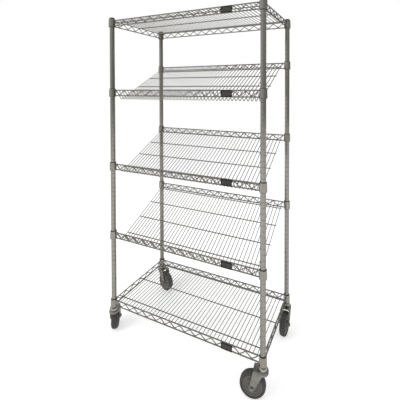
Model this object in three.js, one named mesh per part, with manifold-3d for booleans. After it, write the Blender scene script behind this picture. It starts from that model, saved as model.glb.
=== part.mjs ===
// Mobile wire bread rack: four posts on swivel casters carry two flat wire shelves and three slanted ones.
// Millimetres, +Z up. The origin is on the floor, midway between the four posts. Front is -Y.
import * as THREE from 'three';
import { mergeVertices } from 'three/addons/utils/BufferGeometryUtils.js';
import Module from 'manifold-3d';

const wasm = await Module();
wasm.setup();

// Posts
const POST_SPACING_X = 874;
const POST_SPACING_Y = 417;
const POST_LENGTH = 1600;
const POST_DIAMETER = 25.4;
const POST_WALL = 1.5;
const GROOVE_PITCH = 25.4;
const CAP_PLUG_LENGTH = 12;
const CAP_RIM_HEIGHT = 2;
const CAP_DOME_HEIGHT = 3.5;

// Shelf heights. The top shelf takes the highest post groove that fits, the slanted ones these shares of it.
const SLANT_SHARES = { lower: 0.246, middle: 0.492, upper: 0.754 };
const SLANT_RISE_GROOVES = 6;
const LOWEST_COLLAR_ABOVE_POST_FOOT = 4.6;

// Wires of the shelves
const FRAME_WIRE = 6.3;
const SNAKE_WIRE = 4.5;
const ROD_WIRE = 5;
const MAT_WIRE = 3.2;
const TRUSS_HEIGHT = 29.5;
const SNAKE_PITCH = 60;
const MAT_PITCH = 20;
const MAT_END_INSET = 27;
const TROUGH_BACK = 36.5;
const TROUGH_DEPTH = 51;
const FLAT_RODS = 3;
const FLAT_ROD_INSET = 42;
const SLANT_RODS = 4;
const SLANT_ROD_FRONT_INSET = 78;
const SLANT_ROD_REAR_INSET = 39;

// Collars welded to the shelves, and the tapered sleeves that wedge in them
const COLLAR_HEIGHT = 42;
const COLLAR_ABOVE_WIRE = 8;
const COLLAR_WALL = 2.2;
const SLEEVE_WALL_TOP = 1.4;
const SLEEVE_WALL_BOTTOM = 2.6;
const SLEEVE_SHOWS_ABOVE = 3;
const SLEEVE_SHOWS_BELOW = 2;

// Label plates clamped to the front trusses
const PLATE_WIDTH = 57;
const PLATE_HEIGHT = 31;
const PLATE_CENTRE_X = 261;
const PLATE_THICKNESS = 2.4;
const PLATE_BORDER = 5;
const PLATE_FIELD_DEPTH = 0.8;
const CLAMP_WIDTH = 36;
const CLAMP_HEIGHT = 9;
const CLAMP_THICKNESS = 2;
const CLAMP_STUD = 5;

// Casters
const WHEEL_DIAMETER = 118;
const WHEEL_WIDTH = 34;
const TYRE_THICKNESS = 13;
const TYRE_SHOULDER = 8;
const WEB_WIDTH = 20;
const HUB_RADIUS = 17;
const CASTER_TRAIL = 45;
const FORK_SHEET = 3;
const FORK_SIDE_CLEARANCE = 6;
const FORK_BEND = 9;
const FORK_BACK = 42;
const FORK_CORNER = 8;
const DISH_DEPTH = 15;
const AXLE_BOSS_RADIUS = 12;
const CROWN_ABOVE_WHEEL = 14;
const RACE_RADIUS = 19;
const RACE_HEIGHT = 6;
const NECK_HEIGHT = 6;
const KINGPIN_RADIUS = 6;
const RIVET_RADIUS = 10;
const RIVET_HEIGHT = 4;
const STEM_LENGTH = 60;
const AXLE_RADIUS = 4;
const AXLE_HEAD_RADIUS = 7;
const AXLE_HEAD_HEIGHT = 5;
// Which way each wheel trails from its post, in degrees from +X
const CASTER_YAW = { lf: 127, rf: 190, lr: -16, rr: 270 };

// Clearances and facets
const FIT_GAP = 0.3;
const HAIRLINE = 0.1;
const WELD_SINK = 0.4;
const POST_SIDES = 8;
const STEM_SIDES = 8;
const WHEEL_SIDES = 16;
const WIRE_SIDES = 6;
const BOLT_SIDES = 6;
const DISH_SIDES = 12;
const BEND_SEGMENTS = 2;
const CHEEK_SEGMENTS = 4;
// Side of the square with the area of a round wire of diameter 1
const SQUARE_OF_ROUND = Math.sqrt(Math.PI) / 2;

// Sizes worked out from those above
const HALF_X = POST_SPACING_X / 2;
const HALF_Y = POST_SPACING_Y / 2;
const POST_RADIUS = POST_DIAMETER / 2;
const BORE_RADIUS = POST_RADIUS - POST_WALL;
const PLUG_RADIUS = BORE_RADIUS - FIT_GAP;
const FRAME_RADIUS = FRAME_WIRE / 2;
const MAT_SIDE = MAT_WIRE * SQUARE_OF_ROUND;
const SNAKE_SIDE = SNAKE_WIRE * SQUARE_OF_ROUND;
const ROD_SIDE = ROD_WIRE * SQUARE_OF_ROUND;
const COLLAR_TOP = COLLAR_ABOVE_WIRE;
const COLLAR_FOOT = COLLAR_ABOVE_WIRE - COLLAR_HEIGHT;
const SLEEVE_TOP = COLLAR_TOP + SLEEVE_SHOWS_ABOVE;
const SLEEVE_FOOT = COLLAR_FOOT - SLEEVE_SHOWS_BELOW;
const SLEEVE_BORE = POST_RADIUS + FIT_GAP;
const SLANT_RISE = SLANT_RISE_GROOVES * GROOVE_PITCH;
const WHEEL_RADIUS = WHEEL_DIAMETER / 2;
const RIM_RADIUS = WHEEL_RADIUS - TYRE_THICKNESS;
const CROWN_UNDER = WHEEL_DIAMETER + CROWN_ABOVE_WHEEL;
const CROWN_TOP = CROWN_UNDER + FORK_SHEET;
const POST_FOOT = CROWN_TOP + FIT_GAP + RACE_HEIGHT + NECK_HEIGHT;
const POST_TOP = POST_FOOT + POST_LENGTH;
const BOTTOM_SHELF = POST_FOOT + LOWEST_COLLAR_ABOVE_POST_FOOT - COLLAR_FOOT;
const SHELF_REACH = LOWEST_COLLAR_ABOVE_POST_FOOT + COLLAR_HEIGHT + SLEEVE_SHOWS_ABOVE;
const TOP_GROOVE = Math.floor((POST_LENGTH - SHELF_REACH) / GROOVE_PITCH);
const SHELF_GROOVES = { bottom: 0, top: TOP_GROOVE };
for (const [level, share] of Object.entries(SLANT_SHARES)) {
  SHELF_GROOVES[level] = Math.round(share * TOP_GROOVE);
}
const CORNERS = { lf: [-1, -1], rf: [1, -1], lr: [-1, 1], rr: [1, 1] };

const chrome = (colour) => ({ color: colour, roughness: 0.3, metalness: 0.9 });
const FINISH = {
  post: chrome(0x8e8a82),
  wire: chrome(0x918d86),
  cap: { color: 0x4a4845, roughness: 0.55, metalness: 0 },
  sleeve: { color: 0x2c2b2a, roughness: 0.6, metalness: 0 },
  plate: { color: 0x1c1c1b, roughness: 0.5, metalness: 0 },
  zinc: chrome(0x8b867b),
  core: { color: 0x6d6b63, roughness: 0.6, metalness: 0 },
  tyre: { color: 0x3c3d3a, roughness: 0.75, metalness: 0 },
};

/** A solid made from a closed three.js geometry, with its faces turned outwards. */
function solidOf(geometry) {
  const plain = geometry.clone();
  plain.deleteAttribute('normal');
  plain.deleteAttribute('uv');
  const merged = mergeVertices(plain, 1e-4);
  const points = merged.attributes.position;
  const corner = [0, 1, 2].map(() => new THREE.Vector3());
  const triangles = [];
  let volume = 0;
  for (let i = 0; i < merged.index.count; i += 3) {
    const ids = [0, 1, 2].map((k) => merged.index.getX(i + k));
    if (new Set(ids).size < 3) continue;
    ids.forEach((id, k) => corner[k].fromBufferAttribute(points, id));
    volume += corner[0].dot(corner[1].cross(corner[2]));
    triangles.push(ids);
  }
  const outward = volume < 0 ? triangles.map(([a, b, c]) => [a, c, b]) : triangles;
  const triVerts = new Uint32Array(outward.flat());
  return new wasm.Manifold(new wasm.Mesh({ numProp: 3, vertProperties: points.array, triVerts }));
}

/** Several solids joined into one. */
const join = (solids) => solids.reduce((whole, piece) => whole.add(piece));

/** A named mesh of a solid, with a material of its own. */
function meshOf(name, solid, finish, position = [0, 0, 0]) {
  const { vertProperties, triVerts } = solid.getMesh();
  const geometry = new THREE.BufferGeometry();
  geometry.setAttribute('position', new THREE.BufferAttribute(vertProperties, 3));
  geometry.setIndex(new THREE.BufferAttribute(triVerts, 1));
  geometry.computeVertexNormals();
  const mesh = new THREE.Mesh(geometry, new THREE.MeshStandardMaterial(finish));
  mesh.name = name;
  mesh.position.set(...position);
  return mesh;
}

/** A solid of revolution about Z, flats facing the axes. Its [radius, z] profile is closed or ends on Z. */
function revolve(profile, sides, closed = false) {
  const points = profile.map(([radius, z]) => new THREE.Vector2(radius, z));
  if (closed) points.push(points[0].clone());
  const geometry = new THREE.LatheGeometry(points, sides, Math.PI / sides);
  return solidOf(geometry.rotateX(Math.PI / 2));
}

/** A straight round wire along an axis, rolled so that a flat faces the wires welded to it. */
function straightWire(axis, length, centre, roll = 0) {
  const geometry = new THREE.CylinderGeometry(FRAME_RADIUS, FRAME_RADIUS, length, WIRE_SIDES);
  if (axis === 'x') geometry.rotateZ(Math.PI / 2).rotateX(roll);
  return solidOf(geometry.translate(...centre));
}

/** A square-section wire bent along points in a plane, mitred at its bends, extruded across that plane. */
function bentWire(points, side, basis) {
  const centre = points.map(([a, b]) => new THREE.Vector2(a, b));
  const edge = (sign) => centre.map((point, i) => {
    const before = point.clone().sub(centre[Math.max(i - 1, 0)]).normalize();
    const after = centre[Math.min(i + 1, centre.length - 1)].clone().sub(point).normalize();
    const along = before.clone().add(after).normalize();
    const straight = i === 0 ? after : before;
    const reach = (sign * side) / 2 / along.dot(straight);
    return new THREE.Vector2(-along.y, along.x).multiplyScalar(reach).add(point);
  });
  const outline = new THREE.Shape([...edge(1), ...edge(-1).reverse()]);
  const geometry = new THREE.ExtrudeGeometry(outline, { depth: side, bevelEnabled: false });
  return geometry.translate(0, 0, -side / 2).applyMatrix4(basis);
}

const axisX = new THREE.Vector3(1, 0, 0);
const axisY = new THREE.Vector3(0, 1, 0);
const axisZ = new THREE.Vector3(0, 0, 1);
const IN_XZ = new THREE.Matrix4().makeBasis(axisX, axisZ, axisY.clone().negate());
const IN_YZ = new THREE.Matrix4().makeBasis(axisY, axisZ, axisX);

/** Outer radius of a sleeve at a height from its shelf's wire. It widens downwards, to wedge in a collar. */
function sleeveRadius(z) {
  const share = (z - SLEEVE_FOOT) / (SLEEVE_TOP - SLEEVE_FOOT);
  return SLEEVE_BORE + THREE.MathUtils.lerp(SLEEVE_WALL_BOTTOM, SLEEVE_WALL_TOP, share);
}

/** The tapered sleeve that grips a post inside a shelf's collar. */
function sleeve() {
  return revolve([
    [SLEEVE_BORE, SLEEVE_FOOT],
    [sleeveRadius(SLEEVE_FOOT), SLEEVE_FOOT],
    [sleeveRadius(SLEEVE_TOP), SLEEVE_TOP],
    [SLEEVE_BORE, SLEEVE_TOP],
  ], POST_SIDES, true);
}

/** A shelf's collar, tapered like its sleeve. */
function collar(x, y, z) {
  const inner = (height) => sleeveRadius(height) + FIT_GAP;
  return revolve([
    [inner(COLLAR_FOOT), COLLAR_FOOT],
    [inner(COLLAR_FOOT) + COLLAR_WALL, COLLAR_FOOT],
    [inner(COLLAR_TOP) + COLLAR_WALL, COLLAR_TOP],
    [inner(COLLAR_TOP), COLLAR_TOP],
  ], POST_SIDES, true).translate([x, y, z]);
}

/** From a post's axis to the middle of a collar's flat wall, at a height from the shelf's wire. */
function collarReach(height) {
  const radius = sleeveRadius(height) + FIT_GAP + COLLAR_WALL;
  return radius * Math.cos(Math.PI / POST_SIDES) - COLLAR_WALL / 2;
}

/** Where the snake wire of a truss turns, measured along it from its middle. */
function snakeTurns(spacing) {
  const span = spacing - 2 * (collarReach(0) + COLLAR_WALL + SNAKE_WIRE);
  const waves = Math.max(1, Math.round(span / SNAKE_PITCH));
  return Array.from({ length: 2 * waves + 1 }, (_, i) => span * (i / (2 * waves) - 0.5));
}

/**
 * A truss between two collars: two straight wires and a snake wire between them, joined to the upper one
 * at its ends. The upper wire is rolled to face the mat.
 */
function truss(axis, spacing, across, z, roll = 0) {
  const place = (height) => (axis === 'x' ? [0, across, z + height] : [across, 0, z + height]);
  const wireAt = (height, turn) => straightWire(axis, spacing - 2 * collarReach(height), place(height), turn);
  const crest = FRAME_RADIUS + HAIRLINE + SNAKE_SIDE / Math.SQRT2;
  const points = snakeTurns(spacing).map((along, i, turns) => {
    const atEnd = i === 0 || i === turns.length - 1;
    const height = i % 2 ? crest - TRUSS_HEIGHT : -crest;
    return [along, atEnd ? 0 : height];
  });
  const snake = solidOf(bentWire(points, SNAKE_SIDE, axis === 'x' ? IN_XZ : IN_YZ));
  return join([wireAt(0, roll), wireAt(-TRUSS_HEIGHT, 0), snake.translate(place(0))]);
}

/** Where the mat wires of a shelf stand along X. */
function matPlaces() {
  const span = POST_SPACING_X - 2 * MAT_END_INSET;
  const gaps = Math.max(2, Math.round(span / MAT_PITCH));
  return Array.from({ length: gaps + 1 }, (_, i) => span * (i / gaps - 0.5));
}

/** A mat of wires along one bent profile of [y, z]. The two outermost lie lower, on the rods. */
function mat(profile, tilt) {
  const places = matPlaces();
  const down = new THREE.Vector2(Math.sin(tilt), -Math.cos(tilt)).multiplyScalar(WELD_SINK + HAIRLINE);
  const wire = solidOf(bentWire(profile, MAT_SIDE, IN_YZ));
  return places.map((x, i) => {
    const outermost = i === 0 || i === places.length - 1;
    return wire.translate([x, outermost ? down.x : 0, outermost ? down.y : 0]);
  });
}

/** Evenly spaced long rods between two places along Y, under a mat that tilts up from a point of [y, z]. */
function rods(count, [front, rear], length, tilt, [startY, startZ]) {
  const drop = MAT_SIDE / 2 + HAIRLINE + ROD_SIDE / 2;
  return Array.from({ length: count }, (_, i) => {
    const y = THREE.MathUtils.lerp(front, rear, i / (count - 1));
    const bar = new THREE.BoxGeometry(length, ROD_SIDE, ROD_SIDE).translate(0, 0, -drop).rotateX(tilt);
    return solidOf(bar.translate(0, y, startZ + (y - startY) * Math.tan(tilt)));
  });
}

/** A flat shelf: trusses on four sides, a level mat and the rods under it, which end in the side trusses. */
function flatShelf() {
  const solids = Object.values(CORNERS).map(([sx, sy]) => collar(sx * HALF_X, sy * HALF_Y, 0));
  for (const side of [-1, 1]) {
    solids.push(truss('x', POST_SPACING_X, side * HALF_Y, 0));
    solids.push(truss('y', POST_SPACING_Y, side * HALF_X, 0));
  }
  const reach = HALF_Y - FLAT_ROD_INSET;
  solids.push(...mat([[-HALF_Y, 0], [HALF_Y, 0]], 0));
  solids.push(...rods(FLAT_RODS, [-reach, reach], POST_SPACING_X, 0, [0, 0]));
  return join(solids);
}

/** A slanted shelf: a low front truss, a high rear one and a mat with a trough behind the front truss. */
function slantedShelf() {
  const trough = [TROUGH_BACK - HALF_Y, -TROUGH_DEPTH];
  const tilt = Math.atan2(SLANT_RISE + TROUGH_DEPTH, POST_SPACING_Y - TROUGH_BACK);
  const lip = Math.atan2(-TROUGH_DEPTH, TROUGH_BACK);
  const solids = Object.values(CORNERS).map(([sx, sy]) => {
    const z = sy < 0 ? 0 : SLANT_RISE;
    return collar(sx * HALF_X, sy * HALF_Y, z);
  });
  solids.push(truss('x', POST_SPACING_X, -HALF_Y, 0, lip));
  solids.push(truss('x', POST_SPACING_X, HALF_Y, SLANT_RISE, tilt));
  const ends = [SLANT_ROD_FRONT_INSET - HALF_Y, HALF_Y - SLANT_ROD_REAR_INSET];
  const length = POST_SPACING_X - 2 * MAT_END_INSET + MAT_WIRE + ROD_WIRE;
  solids.push(...mat([[-HALF_Y, 0], trough, [HALF_Y, SLANT_RISE]], tilt));
  solids.push(...rods(SLANT_RODS, ends, length, tilt, trough));
  return join(solids);
}

/** A box with a centre of [x, y, z]. */
const block = (size, centre) => solidOf(new THREE.BoxGeometry(...size).translate(...centre));

/** A blank label plate with a sunk field, before a front truss, and its clamp behind the snake wire. */
function labelPlate() {
  const middle = -TRUSS_HEIGHT / 2;
  const back = -FRAME_RADIUS - FIT_GAP;
  const front = back - PLATE_THICKNESS;
  const clampAt = SNAKE_SIDE / 2 + FIT_GAP;
  const turns = snakeTurns(POST_SPACING_X).map((x) => x - PLATE_CENTRE_X);
  const studX = turns.reduce((nearest, x) => (Math.abs(x) < Math.abs(nearest) ? x : nearest));
  const skin = block([PLATE_WIDTH, PLATE_THICKNESS, PLATE_HEIGHT], [0, (front + back) / 2, middle]);
  const fieldWidth = PLATE_WIDTH - 2 * PLATE_BORDER;
  const fieldHeight = PLATE_HEIGHT - 2 * PLATE_BORDER;
  const field = block([fieldWidth, 2 * PLATE_FIELD_DEPTH, fieldHeight], [0, front, middle]);
  const studEnd = clampAt + CLAMP_THICKNESS / 2;
  const studStart = back - PLATE_THICKNESS / 2;
  const stud = block(
    [CLAMP_STUD, studEnd - studStart, CLAMP_STUD], [studX, (studStart + studEnd) / 2, middle]);
  const clamp = block(
    [CLAMP_WIDTH, CLAMP_THICKNESS, CLAMP_HEIGHT], [studX, clampAt + CLAMP_THICKNESS / 2, middle]);
  return join([skin.subtract(field), stud, clamp]);
}

/** A post: a plain tube, open at both ends for its cap and its caster's stem. */
function post() {
  return revolve([
    [BORE_RADIUS, POST_FOOT], [POST_RADIUS, POST_FOOT], [POST_RADIUS, POST_TOP], [BORE_RADIUS, POST_TOP],
  ], POST_SIDES, true);
}

/** The domed plug that closes a post's top. */
function postCap() {
  const seat = POST_TOP + FIT_GAP;
  return revolve([
    [0, seat - CAP_PLUG_LENGTH], [PLUG_RADIUS, seat - CAP_PLUG_LENGTH],
    [PLUG_RADIUS, seat], [POST_RADIUS, seat],
    [POST_RADIUS, seat + CAP_RIM_HEIGHT], [0, seat + CAP_RIM_HEIGHT + CAP_DOME_HEIGHT],
  ], POST_SIDES);
}

/** The stem fixed in a post: kingpin and rivet below, race and neck, and a shank in the post's foot. */
function casterStem() {
  const race = CROWN_TOP + FIT_GAP;
  const neck = race + RACE_HEIGHT;
  const shoulder = POST_FOOT - FIT_GAP;
  const shank = (BORE_RADIUS * Math.cos(Math.PI / POST_SIDES)) - FIT_GAP;
  return revolve([
    [0, CROWN_UNDER - FIT_GAP - RIVET_HEIGHT],
    [RIVET_RADIUS, CROWN_UNDER - FIT_GAP - RIVET_HEIGHT],
    [RIVET_RADIUS, CROWN_UNDER - FIT_GAP],
    [KINGPIN_RADIUS, CROWN_UNDER - FIT_GAP],
    [KINGPIN_RADIUS, race],
    [RACE_RADIUS, race],
    [RACE_RADIUS, (race + neck) / 2],
    [POST_RADIUS, shoulder],
    [shank, shoulder],
    [shank, POST_FOOT + STEM_LENGTH],
    [0, POST_FOOT + STEM_LENGTH],
  ], STEM_SIDES);
}

/** A round hole to cut, wide enough for a many-sided pin to turn in. */
function hole(radius, length, sides) {
  const clear = (radius + FIT_GAP) / Math.cos(Math.PI / sides);
  return new THREE.CylinderGeometry(clear, clear, length, sides);
}

/** The swivel fork: a round dish and, behind it, a bent channel trimmed to two cheeks. It trails along +X. */
function casterFork() {
  const inner = WHEEL_WIDTH / 2 + FORK_SIDE_CLEARANCE;
  const outer = inner + FORK_SHEET;
  const lowest = WHEEL_RADIUS - AXLE_BOSS_RADIUS;
  const skirt = CROWN_TOP - DISH_DEPTH;
  const back = CASTER_TRAIL + AXLE_BOSS_RADIUS;
  const bend = (side, crown) => new THREE.QuadraticBezierCurve(
    new THREE.Vector2(side, CROWN_TOP - FORK_BEND),
    new THREE.Vector2(side, crown),
    new THREE.Vector2(outer - FORK_BEND, crown),
  ).getPoints(BEND_SEGMENTS).map(({ x, y }) => [x, y]);
  const outside = bend(outer, CROWN_TOP);
  const inside = bend(inner, CROWN_UNDER);

  const right = [...inside.toReversed(), [inner, lowest], [outer, lowest], ...outside];
  const left = right.map(([y, z]) => [-y, z]).reverse();
  const channel = new THREE.Shape([...right, ...left].map(([y, z]) => new THREE.Vector2(y, z)));
  const bar = new THREE.ExtrudeGeometry(channel, { depth: back, bevelEnabled: false });

  const cheek = new THREE.Shape();
  cheek.moveTo(0, CROWN_TOP).lineTo(FORK_BACK - FORK_CORNER, CROWN_TOP);
  cheek.quadraticCurveTo(FORK_BACK, CROWN_TOP, FORK_BACK, CROWN_TOP - FORK_CORNER).lineTo(back, WHEEL_RADIUS);
  cheek.absarc(CASTER_TRAIL, WHEEL_RADIUS, AXLE_BOSS_RADIUS, 0, -Math.PI, true).lineTo(0, skirt);
  const trim = new THREE.ExtrudeGeometry(
    cheek, { depth: 2 * outer, bevelEnabled: false, curveSegments: CHEEK_SEGMENTS });
  const cheeks = solidOf(bar.applyMatrix4(IN_YZ))
    .intersect(solidOf(trim.translate(0, 0, -outer).applyMatrix4(IN_XZ)));

  const dish = revolve([
    [0, CROWN_UNDER], ...inside.toReversed(), [inner, skirt], [outer, skirt], ...outside, [0, CROWN_TOP],
  ], DISH_SIDES).trimByPlane([-1, 0, 0], -FORK_SHEET);
  const kingpin = hole(KINGPIN_RADIUS, 2 * CROWN_TOP, STEM_SIDES).rotateX(Math.PI / 2);
  const axle = hole(AXLE_RADIUS, 4 * outer, BOLT_SIDES).translate(CASTER_TRAIL, 0, WHEEL_RADIUS);
  return cheeks.add(dish).subtract(solidOf(kingpin.translate(0, 0, CROWN_TOP))).subtract(solidOf(axle));
}

/** A wheel's axle bolt, along Z about the wheel's centre. */
function axleBolt() {
  const seat = WHEEL_WIDTH / 2 + FORK_SIDE_CLEARANCE + FORK_SHEET + FIT_GAP;
  const end = seat + AXLE_HEAD_HEIGHT;
  return revolve([
    [0, -end], [AXLE_HEAD_RADIUS, -end], [AXLE_HEAD_RADIUS, -seat], [AXLE_RADIUS, -seat],
    [AXLE_RADIUS, seat], [AXLE_HEAD_RADIUS, seat], [AXLE_HEAD_RADIUS, end], [0, end],
  ], BOLT_SIDES);
}

/** A wheel's core, along Z about its centre: a bored hub that stands proud of the web. */
function wheelCore() {
  const bore = (AXLE_RADIUS + FIT_GAP) / Math.cos(Math.PI / BOLT_SIDES);
  const hub = WHEEL_WIDTH / 2 + FORK_SIDE_CLEARANCE - FIT_GAP;
  const web = WEB_WIDTH / 2;
  return revolve([
    [bore, -hub], [HUB_RADIUS, -hub], [HUB_RADIUS, -web], [RIM_RADIUS - FIT_GAP, -web],
    [RIM_RADIUS - FIT_GAP, web], [HUB_RADIUS, web], [HUB_RADIUS, hub], [bore, hub],
  ], WHEEL_SIDES, true);
}

/** A wheel's tyre, along Z about its centre. */
function tyre() {
  const half = WHEEL_WIDTH / 2;
  const tread = half - TYRE_SHOULDER;
  const shoulder = WHEEL_RADIUS - TYRE_SHOULDER;
  const corner = WHEEL_RADIUS / Math.cos(Math.PI / WHEEL_SIDES);
  return revolve([
    [RIM_RADIUS, -half], [shoulder, -half], [corner, -tread],
    [corner, tread], [shoulder, half], [RIM_RADIUS, half],
  ], WHEEL_SIDES, true);
}

/** A caster's turning pieces, in a group that stands on the floor under its post. */
function casterGroup(corner, pieces) {
  const [sx, sy] = CORNERS[corner];
  const group = new THREE.Group();
  group.position.set(sx * HALF_X, sy * HALF_Y, 0);
  group.rotation.z = THREE.MathUtils.degToRad(CASTER_YAW[corner]);
  const wheel = new THREE.Group();
  wheel.position.set(CASTER_TRAIL, 0, WHEEL_RADIUS);
  wheel.rotation.x = Math.PI / 2;
  wheel.add(meshOf(`caster_${corner}_axle`, pieces.axle, FINISH.zinc));
  wheel.add(meshOf(`caster_${corner}_wheel_core`, pieces.core, FINISH.core));
  wheel.add(meshOf(`caster_${corner}_tyre`, pieces.tyre, FINISH.tyre));
  group.add(meshOf(`caster_${corner}_fork`, pieces.fork, FINISH.zinc), wheel);
  return group;
}

const rack = new THREE.Group();
rack.name = 'bread_rack';

const shelfSolids = { flat: flatShelf(), slant: slantedShelf() };
const sleeveSolid = sleeve();
const plateSolid = labelPlate();
for (const [level, groove] of Object.entries(SHELF_GROOVES)) {
  const z = BOTTOM_SHELF + groove * GROOVE_PITCH;
  const slanted = level in SLANT_SHARES;
  rack.add(meshOf(`shelf_${level}`, shelfSolids[slanted ? 'slant' : 'flat'], FINISH.wire, [0, 0, z]));
  rack.add(meshOf(`plate_${level}`, plateSolid, FINISH.plate, [PLATE_CENTRE_X, -HALF_Y, z]));
  for (const [corner, [sx, sy]] of Object.entries(CORNERS)) {
    const collarZ = slanted && sy > 0 ? z + SLANT_RISE : z;
    const place = [sx * HALF_X, sy * HALF_Y, collarZ];
    rack.add(meshOf(`sleeve_${level}_${corner}`, sleeveSolid, FINISH.sleeve, place));
  }
}

const postSolids = { post: post(), cap: postCap(), stem: casterStem() };
const casterPieces = { fork: casterFork(), axle: axleBolt(), core: wheelCore(), tyre: tyre() };
for (const [corner, [sx, sy]] of Object.entries(CORNERS)) {
  const foot = [sx * HALF_X, sy * HALF_Y, 0];
  rack.add(meshOf(`post_${corner}`, postSolids.post, FINISH.post, foot));
  rack.add(meshOf(`post_cap_${corner}`, postSolids.cap, FINISH.cap, foot));
  rack.add(meshOf(`caster_${corner}_stem`, postSolids.stem, FINISH.zinc, foot));
  rack.add(casterGroup(corner, casterPieces));
}

export default rack;
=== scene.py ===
"""Dresses a packed wire bread rack: round drawn wire, grooved posts, collars, label plates and casters.

Everything is in metres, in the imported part's own frame: +Z is up, -Y is the front.
"""

import logging
import math
from collections.abc import Sequence
from dataclasses import dataclass, field
from enum import Enum
import bmesh
import bpy
from mathutils import Matrix, Vector


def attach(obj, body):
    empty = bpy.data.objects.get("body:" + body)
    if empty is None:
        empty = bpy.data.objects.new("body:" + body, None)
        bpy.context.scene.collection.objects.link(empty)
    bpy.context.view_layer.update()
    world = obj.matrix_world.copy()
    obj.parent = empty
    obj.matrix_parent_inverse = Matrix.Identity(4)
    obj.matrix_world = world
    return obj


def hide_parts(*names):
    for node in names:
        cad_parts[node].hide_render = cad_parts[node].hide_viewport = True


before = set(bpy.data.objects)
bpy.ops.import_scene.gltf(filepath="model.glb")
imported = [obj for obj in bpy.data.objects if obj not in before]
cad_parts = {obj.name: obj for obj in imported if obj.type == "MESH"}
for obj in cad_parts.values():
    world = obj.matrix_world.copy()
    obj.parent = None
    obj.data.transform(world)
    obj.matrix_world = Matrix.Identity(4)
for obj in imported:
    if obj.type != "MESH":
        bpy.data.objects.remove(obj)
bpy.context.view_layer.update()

LOG = logging.getLogger("bread_rack")
RACK = "rack"
WHITE = (1.0, 1.0, 1.0, 1.0)
HEXAGON = 6
SECOND_SLOT = 1
Point = tuple[float, float, float]
Edge = tuple[int, int]
Ring = tuple[float, float]
Outline = Sequence[Ring]
Colour = tuple[float, float, float]


@dataclass(frozen=True)
class CornerValues:
    """A corner's tag, its side and face as -1 or 1, and the way its caster trails, in degrees from +X."""

    tag: str
    side: int
    face: int
    trail: float


class Corner(CornerValues, Enum):
    """The rack's corners, seen from the front."""

    LEFT_FRONT = ("lf", -1, -1, 127.0)
    RIGHT_FRONT = ("rf", 1, -1, 190.0)
    LEFT_REAR = ("lr", -1, 1, -16.0)
    RIGHT_REAR = ("rr", 1, 1, 270.0)


@dataclass(frozen=True)
class LevelValues:
    """A level's tag, its height in post grooves above the bottom shelf, and whether its shelf slants."""

    tag: str
    grooves: int
    slanted: bool


class Level(LevelValues, Enum):
    """The shelf levels, from the floor up."""

    BOTTOM = ("bottom", 0, False)
    LOWER = ("lower", 15, True)
    MIDDLE = ("middle", 30, True)
    UPPER = ("upper", 46, True)
    TOP = ("top", 61, False)


class Run(Enum):
    """The axis along which a truss runs."""

    ALONG_X = 0
    ALONG_Y = 1


@dataclass(frozen=True)
class RackSizes:
    """Sizes that several sub-assemblies share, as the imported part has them.

    Collars and sleeves are measured up and down from the top wire of their truss, foot first.
    """

    half_x: float = 0.437
    half_y: float = 0.2085
    groove_pitch: float = 0.0254
    post_radius: float = 0.0127
    post_foot: float = 0.1473
    post_top: float = 1.7473
    bottom_shelf: float = 0.1859
    slant_rise: float = 0.1524
    truss_height: float = 0.0295
    collar_span: Ring = (-0.034, 0.008)
    sleeve_span: Ring = (-0.036, 0.011)
    sleeve_bore: float = 0.013
    sleeve_radii: Ring = (0.0156, 0.0144)

    def post_axis(self, corner: Corner) -> Matrix:
        """Where a post's axis meets the floor."""
        return Matrix.Translation((corner.side * self.half_x, corner.face * self.half_y, 0.0))

    def shelf_height(self, level: Level) -> float:
        """Height of a shelf's front top wire."""
        return self.bottom_shelf + level.grooves * self.groove_pitch

    def collar_place(self, level: Level, corner: Corner) -> Matrix:
        """The point of a post's axis that a shelf's collar is measured from."""
        rise = self.slant_rise if level.slanted and corner.face > 0 else 0.0
        return self.post_axis(corner) @ Matrix.Translation((0.0, 0.0, self.shelf_height(level) + rise))

    def sleeve_radius(self, height: float) -> float:
        """Outer radius of a tapered sleeve at a height."""
        (foot, top), (wide, narrow) = self.sleeve_span, self.sleeve_radii
        return wide + (narrow - wide) * (height - foot) / (top - foot)


SIZES = RackSizes()


def quarter_turn(steps: int) -> list[float]:
    """Evenly spaced angles from 0 to a quarter turn, both ends included."""
    return [math.pi / 2 * i / steps for i in range(steps + 1)]


def both_sides(half: Outline) -> Outline:
    """A wheel's closed outline, from the half on one side of its middle plane."""
    return [*half, *((radius, -height) for radius, height in reversed(half))]


def band(span: Ring, bores: Ring, radii: Ring, edge: float) -> Outline:
    """The outline of a band with its outer edges taken off.

    Args:
        span: The heights of its foot and its top.
        bores: Its inner radii there.
        radii: Its outer radii there.
        edge: How much is taken off.

    Returns:
        The outline.
    """
    (foot, top), (low, high) = span, radii
    return [(bores[0], foot), (low - edge, foot), (low, foot + edge),
            (high, top - edge), (high - edge, top), (bores[1], top)]


def put_in_scene(name: str, data: bpy.types.ID) -> bpy.types.Object:
    """Makes an object and links it to the scene.

    Args:
        name: The object's name.
        data: Its mesh, lamp or camera.

    Returns:
        The object.
    """
    made = bpy.data.objects.new(name, data)
    bpy.context.scene.collection.objects.link(made)
    return made


def settle(carrier: bpy.types.Object) -> bpy.types.Mesh:
    """Turns a throw-away object with its modifiers into a plain mesh, and removes the object.

    Args:
        carrier: The throw-away object.

    Returns:
        The mesh that its modifiers gave.
    """
    graph = bpy.context.evaluated_depsgraph_get()
    result = bpy.data.meshes.new_from_object(carrier.evaluated_get(graph))
    source = carrier.data
    carrier.modifiers.clear()
    bpy.data.objects.remove(carrier)
    bpy.data.meshes.remove(source)
    return result


def new_socket(tree: bpy.types.NodeTree, name: str, kind: str, output: bool = False) -> None:
    """Adds a named input or output to a node group."""
    tree.interface.new_socket(name=name, in_out="OUTPUT" if output else "INPUT", socket_type=kind)


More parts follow.
